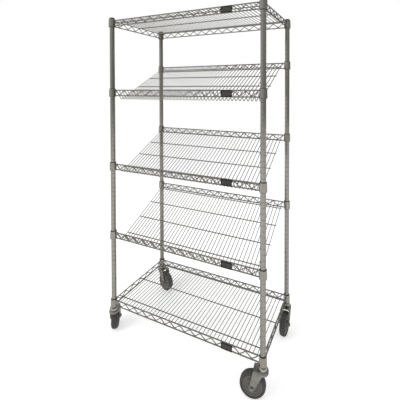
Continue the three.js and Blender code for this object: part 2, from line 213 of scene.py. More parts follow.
class NodeBench:
    """Adds nodes to a tree and wires them up."""

    def __init__(self, tree: bpy.types.NodeTree) -> None:
        """Keeps the tree."""
        self.tree = tree

    def fill(self, node: bpy.types.Node, *terms: object, **named: object) -> None:
        """Sets a node up.

        Args:
            node: The node.
            terms: Its first inputs in order, each a plain value or an output socket to link.
            named: Its settings under their own names, which are in lower case, and further inputs under
                theirs, with underscores for spaces.
        """
        for name in filter(str.islower, named):
            setattr(node, name, named[name])
        inputs = list(zip(node.inputs, terms))
        inputs += [(node.inputs[name.replace("_", " ")], named[name]) for name in named if not name.islower()]
        for socket, value in inputs:
            if isinstance(value, bpy.types.NodeSocket):
                self.tree.links.new(value, socket)
            else:
                socket.default_value = value

    def add(self, kind: str, *terms: object, **named: object) -> bpy.types.NodeSocket:
        """Adds a node.

        Args:
            kind: Its type name.
            terms: Its first inputs, as for fill.
            named: Its settings and further inputs, as for fill.

        Returns:
            Its first output.
        """
        node = self.tree.nodes.new(kind)
        self.fill(node, *terms, **named)
        return node.outputs[0]

    def end(self, result: bpy.types.NodeSocket) -> None:
        """Makes a socket the group's result."""
        self.tree.links.new(result, self.tree.nodes.new("NodeGroupOutput").inputs[0])


class Piece:
    """Gathers the meshes of one visible piece and turns them into one object."""

    def __init__(self, name: str, *materials: bpy.types.Material) -> None:
        """Starts an empty piece.

        Args:
            name: The piece's name.
            materials: Its materials, in slot order.
        """
        self.name = name
        self.materials = materials
        self.mesh = bmesh.new()

    def add_mesh(self, mesh: bpy.types.Mesh) -> None:
        """Adds a plain mesh and removes it from the file."""
        self.mesh.from_mesh(mesh)
        bpy.data.meshes.remove(mesh)

    def turn(self, profile: Outline, place: Matrix, sides: int = 40, slot: int = 0) -> None:
        """Adds a solid turned about its own Z axis.

        Args:
            profile: Radius and height of each ring of a closed outline. Rings on the axis become poles.
            place: Where the solid goes.
            sides: How many sides it has.
            slot: Its material slot.
        """
        turns = [2.0 * math.pi * i / sides for i in range(sides)]
        rings = []
        for radius, height in profile:
            if radius > 0.0:
                points = [(radius * math.cos(turn), radius * math.sin(turn), height) for turn in turns]
            else:
                points = [(0.0, 0.0, height)]
            rings.append([self.mesh.verts.new(place @ Vector(point)) for point in points])
        made = []
        for low, high in zip(rings, rings[1:] + rings[:1]):
            if len(low) == 1 and len(high) == 1:
                continue
            for i in range(sides):
                k = (i + 1) % sides
                corners = [low[i % len(low)], low[k % len(low)], high[k % len(high)], high[i % len(high)]]
                face = self.mesh.faces.new(list(dict.fromkeys(corners)))
                face.material_index = slot
                made.append(face)
        bmesh.ops.recalc_face_normals(self.mesh, faces=made)

    def loft(self, loops: list[list[Point]], end_slot: int = 0) -> None:
        """Adds a solid skinned through loops of as many points each, with a flat face at both ends.

        Args:
            loops: The loops' points.
            end_slot: The material slot of the face at the last loop.
        """
        rings = [[self.mesh.verts.new(Vector(point)) for point in loop] for loop in loops]
        made = [self.mesh.faces.new(rings[0])]
        for low, high in zip(rings, rings[1:]):
            for i in range(len(low)):
                k = (i + 1) % len(low)
                made.append(self.mesh.faces.new((low[i], low[k], high[k], high[i])))
        end = self.mesh.faces.new(rings[-1][::-1])
        end.material_index = end_slot
        bmesh.ops.recalc_face_normals(self.mesh, faces=[*made, end])

    def finish(self, body: str, slot: str, nodes: tuple[str, ...] = (), crease: float = 35.0) -> None:
        """Makes the object, puts it on its body and lets it stand for CAD nodes.

        Args:
            body: The body it rides on.
            slot: The record's material slot; not used.
            nodes: The CAD nodes it stands for.
            crease: Edges sharper than this angle, in degrees, stay sharp.
        """
        mesh = bpy.data.meshes.new(self.name)
        self.mesh.to_mesh(mesh)
        self.mesh.free()
        for material in self.materials:
            mesh.materials.append(material)
        mesh.shade_smooth()
        mesh.set_sharp_from_angle(angle=math.radians(crease))
        made = put_in_scene(self.name, mesh)
        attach(made, body)
        if nodes:
            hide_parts(*nodes)
        LOG.info("%s: %d faces on %s", self.name, len(mesh.polygons), body)


class NodeTool:
    """A geometry node tree with named inputs, run on a throw-away object to add its result to a piece."""

    def __init__(self, name: str, finish: bpy.types.Material, sockets: tuple[tuple[str, str], ...]) -> None:
        """Makes the tree with its inputs and its geometry sockets.

        Args:
            name: The tree's name.
            finish: The material of what it makes.
            sockets: The inputs' names and socket types.
        """
        self.finish = finish
        self.tree = bpy.data.node_groups.new(name, "GeometryNodeTree")
        new_socket(self.tree, "Geometry", "NodeSocketGeometry")
        for socket, kind in sockets:
            new_socket(self.tree, socket, kind)
        new_socket(self.tree, "Geometry", "NodeSocketGeometry", output=True)
        self.bench = NodeBench(self.tree)
        self.source = self.tree.nodes.new("NodeGroupInput").outputs

    def close(self, geometry: bpy.types.NodeSocket) -> None:
        """Ends the tree: instances made real, shaded smooth, given their finish.

        Args:
            geometry: The socket that carries the instances.
        """
        real = self.bench.add("GeometryNodeRealizeInstances", Geometry=geometry)
        smooth = self.bench.add("GeometryNodeSetShadeSmooth", Geometry=real)
        self.bench.end(self.bench.add("GeometryNodeSetMaterial", Geometry=smooth, Material=self.finish))

    def run(self, piece: Piece, points: list[Point], edges: list[Edge], values: dict[str, object]) -> None:
        """Runs the tree on a small mesh.

        Args:
            piece: The piece that takes the result.
            points: The mesh's vertices.
            edges: The mesh's edges.
            values: The tree's input values by name.
        """
        mesh = bpy.data.meshes.new("path")
        mesh.from_pydata(points, edges, [])
        carrier = put_in_scene("path", mesh)
        modifier = carrier.modifiers.new("path", "NODES")
        modifier.node_group = self.tree
        for item in self.tree.interface.items_tree:
            if item.in_out == "INPUT" and item.name in values:
                modifier[item.identifier] = values[item.name]
        piece.add_mesh(settle(carrier))


class WireTool(NodeTool):
    """Draws round wire along a path, rounds its bends and repeats it at an even spacing."""

    def __init__(self, finish: bpy.types.Material) -> None:
        """Builds the tree.

        Args:
            finish: The wire's material.
        """
        super().__init__("drawn_wire", finish, (
            ("Wire Diameter", "NodeSocketFloat"), ("Wire Sides", "NodeSocketInt"),
            ("Bend Radius", "NodeSocketFloat"), ("Bend Steps", "NodeSocketInt"),
            ("Copies", "NodeSocketInt"), ("Spacing", "NodeSocketVector"),
        ))
        add, source = self.bench.add, self.source
        radius = add("ShaderNodeMath", source["Wire Diameter"], 0.5, operation="MULTIPLY")
        section = add("GeometryNodeCurvePrimitiveCircle", Resolution=source["Wire Sides"], Radius=radius)
        path = add("GeometryNodeMeshToCurve", Mesh=source["Geometry"])
        bent = add("GeometryNodeFilletCurve", mode="POLY", Curve=path, Count=source["Bend Steps"],
                   Radius=source["Bend Radius"], Limit_Radius=True)
        wire = add("GeometryNodeCurveToMesh", Curve=bent, Profile_Curve=section, Fill_Caps=True)
        row = add("GeometryNodeMeshLine", mode="OFFSET", Count=source["Copies"], Offset=source["Spacing"])
        self.close(add("GeometryNodeInstanceOnPoints", Points=row, Instance=wire))

    def draw(self, piece: Piece, path: list[Point], diameter: float, bend: float = 0.0, copies: int = 1,
             spacing: Point = (0.0, 0.0, 0.0), sides: int = 12, bend_steps: int = 6) -> None:
        """Draws one wire, or a row of the same wire.

        Args:
            piece: The piece that takes it.
            path: The wire's corner points.
            diameter: The wire's diameter.
            bend: The radius of its bends.
            copies: How many wires there are.
            spacing: The step from one wire to the next.
            sides: How many sides its section has.
            bend_steps: How many steps a bend has.
        """
        edges = [(i, i + 1) for i in range(len(path) - 1)]
        self.run(piece, path, edges, {
            "Wire Diameter": diameter, "Wire Sides": sides, "Bend Radius": bend, "Bend Steps": bend_steps,
            "Copies": copies, "Spacing": spacing,
        })


class WeldTool(NodeTool):
    """Puts a small round weld bead on each of a set of points."""

    def __init__(self, finish: bpy.types.Material) -> None:
        """Builds the tree.

        Args:
            finish: The beads' material.
        """
        super().__init__("weld_beads", finish, (("Bead Radius", "NodeSocketFloat"),))
        add, source = self.bench.add, self.source
        bead = add("GeometryNodeMeshIcoSphere", Radius=source["Bead Radius"], Subdivisions=1)
        self.close(add("GeometryNodeInstanceOnPoints", Points=source["Geometry"], Instance=bead))

    def draw(self, piece: Piece, points: list[Point], radius: float) -> None:
        """Puts beads of a radius on points of a piece."""
        self.run(piece, points, [], {"Bead Radius": radius})


class EffectGroups:
    """The shader effects that several finishes share, each a node group built once."""

    NOISE_MIDDLE = 0.5

    def __init__(self) -> None:
        """Builds the groups."""
        self.mottle = self._noise_group("surface_mottle", detail=5.0)
        # The streaks are painted reflection stripes: noise stretched up the posts that darkens and lightens
        # the chrome's colour and gloss in vertical bands.
        self.streaks = self._noise_group("painted_reflection_streaks", detail=3.0, stretch=(1.0, 1.0, 0.02))

    def _noise_group(self, name: str, detail: float, stretch: Point = (1.0, 1.0, 1.0)) -> bpy.types.NodeTree:
        """Builds a group that turns noise into a mask.

        Args:
            name: The group's name.
            detail: How fine the noise goes.
            stretch: How the noise is scaled along each axis.

        Returns:
            The group, with a Mask output from 0 to 1.
        """
        tree = bpy.data.node_groups.new(name, "ShaderNodeTree")
        new_socket(tree, "Vector", "NodeSocketVector")
        new_socket(tree, "Scale", "NodeSocketFloat")
        new_socket(tree, "Contrast", "NodeSocketFloat")
        new_socket(tree, "Mask", "NodeSocketFloat", output=True)
        bench = NodeBench(tree)
        source = tree.nodes.new("NodeGroupInput").outputs
        scaled = bench.add("ShaderNodeMapping", Vector=source["Vector"], Scale=stretch)
        noise = bench.add("ShaderNodeTexNoise", Vector=scaled, Scale=source["Scale"], Detail=detail)
        centred = bench.add("ShaderNodeMath", noise, self.NOISE_MIDDLE, operation="SUBTRACT")
        bench.end(bench.add("ShaderNodeMath", centred, source["Contrast"], self.NOISE_MIDDLE,
                            operation="MULTIPLY_ADD", use_clamp=True))
        return tree


@dataclass(frozen=True)
class Finish:
    """A finish whose colour, gloss and relief vary over the surface; a streaked one has painted reflection
    stripes.
    """

    name: str
    dark: Colour
    light: Colour
    gloss: tuple[float, float]
    metallic: float = 0.0
    edge_tint: Colour = (1.0, 1.0, 1.0)
    patch_scale: float = 40.0
    patch_contrast: float = 2.0
    grain_scale: float = 900.0
    grain_contrast: float = 1.5
    grain_depth: float = 0.00002
    # A streaked finish has painted reflection stripes running up it.
    streaked: bool = False

    def material(self, effects: EffectGroups) -> bpy.types.Material:
        """Builds the finish's material.

        Args:
            effects: The shared shader effects.

        Returns:
            The material.
        """
        made = bpy.data.materials.new(self.name)
        made.use_nodes = True
        tree = made.node_tree
        bench = NodeBench(tree)
        place = tree.nodes.new("ShaderNodeTexCoord").outputs["Object"]
        # On a streaked finish the patches are painted reflection stripes; otherwise they are random tone.
        patches = bench.add("ShaderNodeGroup", node_tree=effects.streaks if self.streaked else effects.mottle,
                            Vector=place, Scale=self.patch_scale, Contrast=self.patch_contrast)
        grain = bench.add("ShaderNodeGroup", node_tree=effects.mottle, Vector=place, Scale=self.grain_scale,
                          Contrast=self.grain_contrast)
        colour = tree.nodes.new("ShaderNodeMix")
        bench.fill(colour, data_type="RGBA", Factor=patches)
        darker, lighter = (socket for socket in colour.inputs if socket.type == "RGBA")
        darker.default_value = (*self.dark, 1.0)
        lighter.default_value = (*self.light, 1.0)
        tinted = next(socket for socket in colour.outputs if socket.type == "RGBA")
        gloss = bench.add("ShaderNodeMapRange", Value=patches, To_Min=self.gloss[0], To_Max=self.gloss[1])
        relief = bench.add("ShaderNodeBump", Height=grain, Distance=self.grain_depth, Strength=1.0)
        bench.fill(tree.nodes["Principled BSDF"], Base_Color=tinted, Metallic=self.metallic, Roughness=gloss,
                   Specular_Tint=(*self.edge_tint, 1.0), Normal=relief)
        return made


class Surface(Enum):
    """The rack's surfaces, each with its finish."""

    # The post's chrome has painted reflection stripes running up it, as well as a fine random grain.
    POST = Finish("post_chrome", (0.22, 0.212, 0.191), (0.31, 0.299, 0.272), (0.10, 0.20), metallic=1.0,
                  edge_tint=(0.6, 0.59, 0.57), patch_scale=160.0, streaked=True)
    WIRE = Finish("wire_chrome", (0.155, 0.15, 0.138), (0.25, 0.243, 0.226), (0.10, 0.22), metallic=1.0,
                  edge_tint=(0.6, 0.59, 0.57), patch_scale=25.0)
    RACE = Finish("race_chrome", (0.30, 0.292, 0.275), (0.44, 0.429, 0.405), (0.10, 0.20), metallic=1.0,
                  edge_tint=(0.6, 0.6, 0.6), patch_scale=60.0)
    FORK = Finish("fork_zinc", (0.17, 0.165, 0.148), (0.29, 0.282, 0.256), (0.34, 0.52), metallic=1.0,
                  edge_tint=(0.6, 0.6, 0.6), patch_scale=70.0, grain_scale=600.0)
    SLEEVE = Finish("sleeve_plastic", (0.016, 0.015, 0.014), (0.03, 0.029, 0.027), (0.45, 0.62))
    CAP = Finish("cap_plastic", (0.045, 0.042, 0.038), (0.075, 0.071, 0.065), (0.42, 0.58))
    PLATE = Finish("plate_plastic", (0.006, 0.006, 0.006), (0.012, 0.012, 0.011), (0.36, 0.52),
                   edge_tint=(0.25, 0.25, 0.25))
    CARD = Finish("card_stock", (0.038, 0.036, 0.032), (0.06, 0.057, 0.051), (0.4, 0.55),
                  edge_tint=(0.4, 0.4, 0.4), grain_scale=1500.0)
    CORE = Finish("core_plastic", (0.10, 0.097, 0.086), (0.15, 0.145, 0.13), (0.45, 0.62))
    TYRE = Finish("tyre_rubber", (0.035, 0.036, 0.034), (0.062, 0.063, 0.058), (0.62, 0.8),
                  grain_scale=700.0, grain_depth=0.00005)


Finishes = dict[Surface, bpy.types.Material]


@dataclass
class Post:
    """A post with its grooves, and the plug that closes it."""

    corner: Corner
    finishes: Finishes
    wall: float = 0.0015
    groove_width: float = 0.0026
    groove_depth: float = 0.0008
    groove_start: float = 0.0125
    groove_crease: float = 20.0
    end_round: float = 0.0006
    rim_height: float = 0.002
    dome_height: float = 0.0035
    dome_steps: int = 8
    seat_gap: float = 0.0003
    plug_length: float = 0.012
    plug_round: float = 0.001

    def build(self) -> None:
        """Builds the post and its plug."""
        self._tube()
        self._plug()

    def _tube(self) -> None:
        """Builds the grooved post."""
        outer = SIZES.post_radius
        inner = outer - self.wall
        floor = outer - self.groove_depth
        half = self.groove_width / 2
        foot, top = SIZES.post_foot, SIZES.post_top
        profile = [(inner, foot), (outer - self.end_round, foot), (outer, foot + self.end_round)]
        height = foot + self.groove_start
        while height < top - self.groove_start:
            profile += [(outer, height - half), (floor, height - half / 3), (floor, height + half / 3),
                        (outer, height + half)]
            height += SIZES.groove_pitch
        profile += [(outer, top - self.end_round), (outer - self.end_round, top), (inner, top)]
        piece = Piece(f"post_tube_{self.corner.tag}", self.finishes[Surface.POST])
        piece.turn(profile, SIZES.post_axis(self.corner))
        piece.finish(RACK, "post", (f"post_{self.corner.tag}",), crease=self.groove_crease)

    def _plug(self) -> None:
        """Builds the domed plug."""
        outer = SIZES.post_radius
        shank = outer - self.wall - self.seat_gap
        seat = SIZES.post_top + self.seat_gap
        end = seat - self.plug_length
        rim = seat + self.rim_height
        profile = [(0.0, end), (shank - self.plug_round, end), (shank, end + self.plug_round), (shank, seat),
                   (outer, seat)]
        profile += [(outer * math.cos(turn), rim + self.dome_height * math.sin(turn))
                    for turn in quarter_turn(self.dome_steps)[:-1]]
        profile.append((0.0, rim + self.dome_height))
        piece = Piece(f"post_plug_{self.corner.tag}", self.finishes[Surface.CAP])
        piece.turn(profile, SIZES.post_axis(self.corner))
        piece.finish(RACK, "cap", (f"post_cap_{self.corner.tag}",))


@dataclass
class Shelf:
    """A wire shelf: trusses between collars, a mat of wires and the rods under it.

    A weld bead's radius is a share of its wire's diameter.
    """

    level: Level
    finishes: Finishes
    wires: WireTool
    welds: WeldTool
    frame_wire: float = 0.0063
    snake_wire: float = 0.0045
    rod_wire: float = 0.005
    mat_wire: float = 0.0037
    snake_pitch: float = 0.060
    snake_bend: float = 0.007
    mat_count: int = 42
    mat_pitch: float = 0.020
    mat_bend: float = 0.008
    mat_sides: int = 8
    mat_bend_steps: int = 3
    trough_back: float = 0.0365
    trough_depth: float = 0.051
    flat_rods: int = 3
    flat_rod_insets: tuple[float, float] = (0.042, 0.042)
    slant_rods: int = 4
    slant_rod_insets: tuple[float, float] = (0.078, 0.039)
    collar_wall: float = 0.0022
    collar_gap: float = 0.0003
    collar_round: float = 0.0007
    end_weld_inset: float = 0.001
    snake_sink: float = 0.0003
    rod_sink: float = 0.0002
    end_bead: float = 0.62
    snake_bead: float = 0.45
    mat_bead: float = 0.62

    def build(self) -> None:
        """Builds the shelf as one piece."""
        piece = Piece(f"wire_shelf_{self.level.tag}", self.finishes[Surface.WIRE],
                      self.finishes[Surface.POST])
        height = SIZES.shelf_height(self.level)
        if self.level.slanted:
            self._truss(piece, Run.ALONG_X, -SIZES.half_y, height)
            self._truss(piece, Run.ALONG_X, SIZES.half_y, height + SIZES.slant_rise)
        else:
            for side in (-1, 1):
                self._truss(piece, Run.ALONG_X, side * SIZES.half_y, height)
                self._truss(piece, Run.ALONG_Y, side * SIZES.half_x, height)
        self._mat(piece, height)
        self._collars(piece)
        piece.finish(RACK, "wire", (f"shelf_{self.level.tag}",))

    def _collars(self, piece: Piece) -> None:
        """Adds the collars, tapered like the sleeves inside them.

        Args:
            piece: The shelf's piece.
        """
        low, high = (SIZES.sleeve_radius(height) + self.collar_gap for height in SIZES.collar_span)
        radii = (low + self.collar_wall, high + self.collar_wall)
        collar = band(SIZES.collar_span, (low, high), radii, self.collar_round)
        for corner in Corner:
            piece.turn(collar, SIZES.collar_place(self.level, corner), slot=SECOND_SLOT)

    def _truss(self, piece: Piece, run: Run, across: float, height: float) -> None:
        """Adds one truss: two straight wires with a snake wire between them.

        Args:
            piece: The shelf's piece.
            run: The axis it runs along.
            across: Where it stands on the other axis.
            height: The height of its top wire.
        """
        half = SIZES.half_x if run is Run.ALONG_X else SIZES.half_y
        reach = half - SIZES.sleeve_radius(0.0) - self.collar_gap - self.collar_wall / 2
        span = 2 * (reach - self.collar_wall - self.snake_wire)
        waves = max(1, round(span / self.snake_pitch))
        turns = [span * (i / (2 * waves) - 0.5) for i in range(2 * waves + 1)]

        def at(along: float, drop: float) -> Point:
            """A point of the truss, a drop under its top wire."""
            return (along, across, height - drop) if run is Run.ALONG_X else (across, along, height - drop)

        def zigzag(inset: float) -> list[Point]:
            """Points at the snake wire's turns, by turns under the top wire and over the bottom wire."""
            drops = (inset, SIZES.truss_height - inset)
            return [at(along, drops[i % 2]) for i, along in enumerate(turns)]

        for drop in (0.0, SIZES.truss_height):
            self.wires.draw(piece, [at(-reach, drop), at(reach, drop)], self.frame_wire)
            ends = [at(side * (reach - self.end_weld_inset), drop) for side in (-1, 1)]
            self.welds.draw(piece, ends, self.frame_wire * self.end_bead)
        touch = (self.frame_wire + self.snake_wire) / 2 - self.snake_sink
        slope = math.atan2(SIZES.truss_height - 2 * touch, span / waves / 2)
        crest = touch - self.snake_bend * (1 / math.cos(slope) - 1)
        self.wires.draw(piece, zigzag(crest), self.snake_wire, bend=self.snake_bend)
        self.welds.draw(piece, zigzag(self.frame_wire / 2)[1:-1], self.snake_wire * self.snake_bead)

    def _mat(self, piece: Piece, height: float) -> None:
        """Adds the mat, and the rods welded under it.

        Args:
            piece: The shelf's piece.
            height: The height of the front top wire.
        """
        left = -(self.mat_count - 1) / 2 * self.mat_pitch
        front, rear = -SIZES.half_y, SIZES.half_y
        if self.level.slanted:
            start = (front + self.trough_back, height - self.trough_depth)
            profile = [(front, height), start, (rear, height + SIZES.slant_rise)]
            rods, insets = self.slant_rods, self.slant_rod_insets
            reach = -left + (self.mat_wire + self.rod_wire) / 2
        else:
            start = (front, height)
            profile = [start, (rear, height)]
            rods, insets = self.flat_rods, self.flat_rod_insets
            reach = SIZES.half_x
        tilt = math.atan2(profile[-1][1] - start[1], profile[-1][0] - start[0])

        def under(y: float, depth: float) -> Ring:
            """The Y and Z of a point that lies a depth under the mat, square to it, from a place along Y."""
            z = start[1] + (y - start[0]) * math.tan(tilt)
            return y + depth * math.sin(tilt), z - depth * math.cos(tilt)

        path = [(left, y, z) for y, z in profile]
        self.wires.draw(piece, path, self.mat_wire, bend=self.mat_bend, copies=self.mat_count,
                        spacing=(self.mat_pitch, 0.0, 0.0), sides=self.mat_sides,
                        bend_steps=self.mat_bend_steps)
        rod_depth = (self.mat_wire + self.rod_wire) / 2 - self.rod_sink
        beads = []
        for i in range(rods):
            y = front + insets[0] + (rear - front - sum(insets)) * i / (rods - 1)
            centre = under(y, rod_depth)
            self.wires.draw(piece, [(-reach, *centre), (reach, *centre)], self.rod_wire)
            weld = under(y, self.mat_wire / 2)
            beads += [(left + k * self.mat_pitch, *weld) for k in range(self.mat_count)]
        self.welds.draw(piece, beads, self.mat_wire * self.mat_bead)


@dataclass
class Sleeves:
    """The tapered sleeves that wedge the collars on the posts."""

    finishes: Finishes
    rim_round: float = 0.0004

    def build(self) -> None:
        """Builds the sleeves of every level, a piece for each level."""
        bores = (SIZES.sleeve_bore, SIZES.sleeve_bore)
        sleeve = band(SIZES.sleeve_span, bores, SIZES.sleeve_radii, self.rim_round)
        for level in Level:
            piece = Piece(f"post_sleeves_{level.tag}", self.finishes[Surface.SLEEVE])
            for corner in Corner:
                piece.turn(sleeve, SIZES.collar_place(level, corner))
            piece.finish(RACK, "sleeve", tuple(f"sleeve_{level.tag}_{corner.tag}" for corner in Corner))


@dataclass
class LabelPlate:
    """A blank label plate, clamped to the front truss of its level."""

    level: Level
    finishes: Finishes
    width: float = 0.057
    height: float = 0.031
    centre_x: float = 0.261
    thickness: float = 0.0024
    border: float = 0.005
    wire_reach: float = 0.00345
    card_depth: float = 0.0008
    corner_round: float = 0.002
    corner_steps: int = 4
    edge_round: float = 0.0005
    clamp_x: float = 0.267
    clamp_size: Point = (0.036, 0.002, 0.009)
    clamp_reach: float = 0.0023
    stud: float = 0.005

    def build(self) -> None:
        """Builds the plate: a frame round a sunk card, and a stud to the clamp behind the snake wire."""
        truss_y = -SIZES.half_y
        middle = (self.centre_x, SIZES.shelf_height(self.level) - SIZES.truss_height / 2)
        size = (self.width, self.height)
        back = truss_y - self.wire_reach
        front = back - self.thickness
        steps = ((0.0, back), (0.0, front + self.edge_round), (self.edge_round, front),
                 (self.border - self.edge_round, front), (self.border, front + self.card_depth))
        piece = Piece(f"label_plate_{self.level.tag}", self.finishes[Surface.PLATE],
                      self.finishes[Surface.CARD])
        piece.loft([self._loop(middle, size, inset, y) for inset, y in steps], end_slot=SECOND_SLOT)
        held = (self.clamp_x, middle[1])
        clamp = truss_y + self.clamp_reach
        wide, thick, high = self.clamp_size
        piece.loft([self._loop(held, (self.stud, self.stud), 0.0, y) for y in (back, clamp)])
        piece.loft([self._loop(held, (wide, high), 0.0, y) for y in (clamp, clamp + thick)])
        piece.finish(RACK, "plate", (f"plate_{self.level.tag}",))

    def _loop(self, centre: Ring, size: Ring, inset: float, y: float) -> list[Point]:
        """A rectangle with rounded corners that faces along Y.

        Args:
            centre: Its middle, as X and Z.
            size: Its width and height.
            inset: How far it is drawn in from that size.
            y: Where it stands.

        Returns:
            The rectangle's points.
        """
        radius = max(self.corner_round - inset, self.edge_round)
        loop = []
        for quarter, (side, rise) in enumerate(((1, 1), (-1, 1), (-1, -1), (1, -1))):
            x = centre[0] + side * (size[0] / 2 - inset - radius)
            z = centre[1] + rise * (size[1] / 2 - inset - radius)
            for step in quarter_turn(self.corner_steps):
                turn = quarter * math.pi / 2 + step
                loop.append((x + radius * math.cos(turn), y, z + radius * math.sin(turn)))
        return loop


@dataclass
class Caster:
    """One swivel caster: stem, race, fork, axle bolt, wheel core and tyre.

    An outline is a row of radii with heights: down from under the crown for the rivet, up from the floor for
    the post ring, out from the seat for the axle bolt, and out from the middle plane for the wheel.
    """

    corner: Corner
    finishes: Finishes
    gap: float = 0.0003
    trail: float = 0.045
    crown_top: float = 0.135
    # Stem, race and the ring round the post's foot
    rivet: Outline = ((0.0, 0.004), (0.008, 0.004), (0.010, 0.002), (0.010, 0.0))
    kingpin_radius: float = 0.006
    race_radius: float = 0.019
    race_edge: float = 0.002
    race_round: float = 0.0006
    race_steps: int = 8
    stem_radius: float = 0.0101
    stem_length: float = 0.060
    post_ring: Outline = (
        (0.0128, 0.1466), (0.0131, 0.1466), (0.0136, 0.1471),
        (0.0136, 0.1489), (0.0131, 0.1494), (0.0128, 0.1494),
    )
    # Fork
    fork_inside: float = 0.023
    fork_sheet: float = 0.003
    fork_bend: float = 0.009
    fork_back: float = 0.042
    fork_corner: float = 0.008
    fork_edge: float = 0.0006
    fork_edge_steps: int = 2
    fork_edge_angle: float = 50.0
    dish_depth: float = 0.015
    boss_radius: float = 0.012
    boss_steps: int = 6
    boss_tip: float = 0.2
    cheek_rows: int = 8
    cheek_columns: int = 8
    bend_steps: int = 6
    crown_rows: int = 3
    nose_steps: int = 16
    merge_distance: float = 1e-6
    # Axle bolt
    axle_radius: float = 0.004
    axle_sides: int = 24
    axle_end: Outline = ((0.004, 0.005), (0.0032, 0.006), (0.0, 0.006))
    washer: Outline = ((0.004, 0.0), (0.0087, 0.0), (0.0087, 0.001), (0.004, 0.001))
    washer_sides: int = 32
    nut: Outline = ((0.0, 0.001), (0.0075, 0.001), (0.0075, 0.0043), (0.0065, 0.005), (0.0, 0.005))
    # Wheel
    wheel_radius: float = 0.059
    core_half: Outline = (
        (0.0050, 0.0227), (0.0105, 0.0227), (0.0112, 0.0215), (0.0158, 0.0215), (0.0168, 0.0203),
        (0.0176, 0.0125), (0.0200, 0.0104), (0.0265, 0.0096), (0.0274, 0.0114), (0.0292, 0.0114),
        (0.0301, 0.0096), (0.0385, 0.0102), (0.0396, 0.0134), (0.0447, 0.0140), (0.0457, 0.0130),
    )
    core_sides: int = 64
    core_crease: float = 28.0
    tyre_half: Outline = (
        (0.0460, 0.0148), (0.0470, 0.0164), (0.0486, 0.0170), (0.0512, 0.0166),
        (0.0540, 0.0150), (0.0563, 0.0126), (0.0580, 0.0096), (0.0590, 0.0065),
    )
    tyre_sides: int = 80
    # Places, worked out
    foot: Matrix = field(init=False)
    swivel: Matrix = field(init=False)
    axle: Matrix = field(init=False)

    def __post_init__(self) -> None:
        """Works out the places of the post's foot, the swivelling fork and the axle."""
        self.foot = SIZES.post_axis(self.corner)
        self.swivel = self.foot @ Matrix.Rotation(math.radians(self.corner.trail), 4, "Z")
        hub = Matrix.Translation((self.trail, 0.0, self.wheel_radius))
        self.axle = self.swivel @ hub @ Matrix.Rotation(math.pi / 2, 4, "X")

    def build(self) -> None:
        """Builds the caster's pieces on their three bodies."""
        self._stem()
        self._fork()
        self._axle_bolt()
        self._wheel()

    def _stem(self) -> None:
        """Builds the stem with its domed race and its rivet, and the dark ring round the post's foot."""
        tag = self.corner.tag
        race = self.crown_top + self.gap
        under = self.crown_top - self.fork_sheet - self.gap
        neck = SIZES.post_foot - self.gap
        end = SIZES.post_foot + self.stem_length
        edge = race + self.race_edge
        dome = self.race_radius - SIZES.post_radius
        profile = [(radius, under - drop) for radius, drop in self.rivet]
        profile += [
            (self.kingpin_radius, under), (self.kingpin_radius, race),
            (self.race_radius - self.race_round, race), (self.race_radius, race + self.race_round),
        ]
        profile += [(SIZES.post_radius + dome * math.cos(turn), edge + (neck - edge) * math.sin(turn))
                    for turn in quarter_turn(self.race_steps)[1:]]
        profile += [(self.stem_radius, neck), (self.stem_radius, end), (0.0, end)]
        piece = Piece(f"caster_{tag}_race", self.finishes[Surface.RACE])
        piece.turn(profile, self.foot)
        piece.finish(RACK, "zinc", (f"caster_{tag}_stem",))
        ring = Piece(f"caster_{tag}_post_ring", self.finishes[Surface.SLEEVE])
        ring.turn(self.post_ring, self.foot)
        ring.finish(RACK, "sleeve")

    def _cheek_span(self, height: float) -> tuple[float, float]:
        """Front and back edge of the fork's cheek at a height, measured from the post's axis.

        Args:
            height: The height above the floor.

        Returns:
            The two places along the way the caster trails.
        """
        boss, hub = self.boss_radius, self.wheel_radius
        if height < hub:
            half = math.sqrt(max(boss ** 2 - (hub - height) ** 2, 0.0))
            return self.trail - half, self.trail + half
        skirt = self.crown_top - self.dish_depth
        corner = self.crown_top - self.fork_corner
        front = (self.trail - boss) * (1.0 - min((height - hub) / (skirt - hub), 1.0))
        if height <= corner:
            share = (height - hub) / (corner - hub)
            return front, self.trail + boss + share * (self.fork_back - self.trail - boss)
        rise = (height - corner) / self.fork_corner
        return front, self.fork_back - self.fork_corner * (1.0 - math.sqrt(1.0 - rise ** 2))

    def _fork_section(self) -> list[Ring]:
        """The middle of the fork's sheet from an axle boss up to the swivel axis.

        Returns:
            Distances from the middle plane, and heights.
        """
        middle = self.fork_inside + self.fork_sheet / 2
        crown = self.crown_top - self.fork_sheet / 2
        bend = self.fork_bend - self.fork_sheet / 2
        hub, skirt = self.wheel_radius, self.crown_top - self.dish_depth
        section = []
        for i in range(self.boss_steps + 1):
            turn = math.pi / 2 * (i + self.boss_tip) / (self.boss_steps + self.boss_tip)
            section.append((middle, hub - self.boss_radius * math.cos(turn)))
        for i in range(1, self.cheek_rows + 1):
            section.append((middle, hub + (skirt - hub) * i / self.cheek_rows))
        for turn in quarter_turn(self.bend_steps):
            section.append((middle - bend * (1 - math.cos(turn)), crown - bend + bend * math.sin(turn)))
        for i in range(1, self.crown_rows + 1):
            section.append(((middle - bend) * (1 - i / self.crown_rows), crown))
        return section

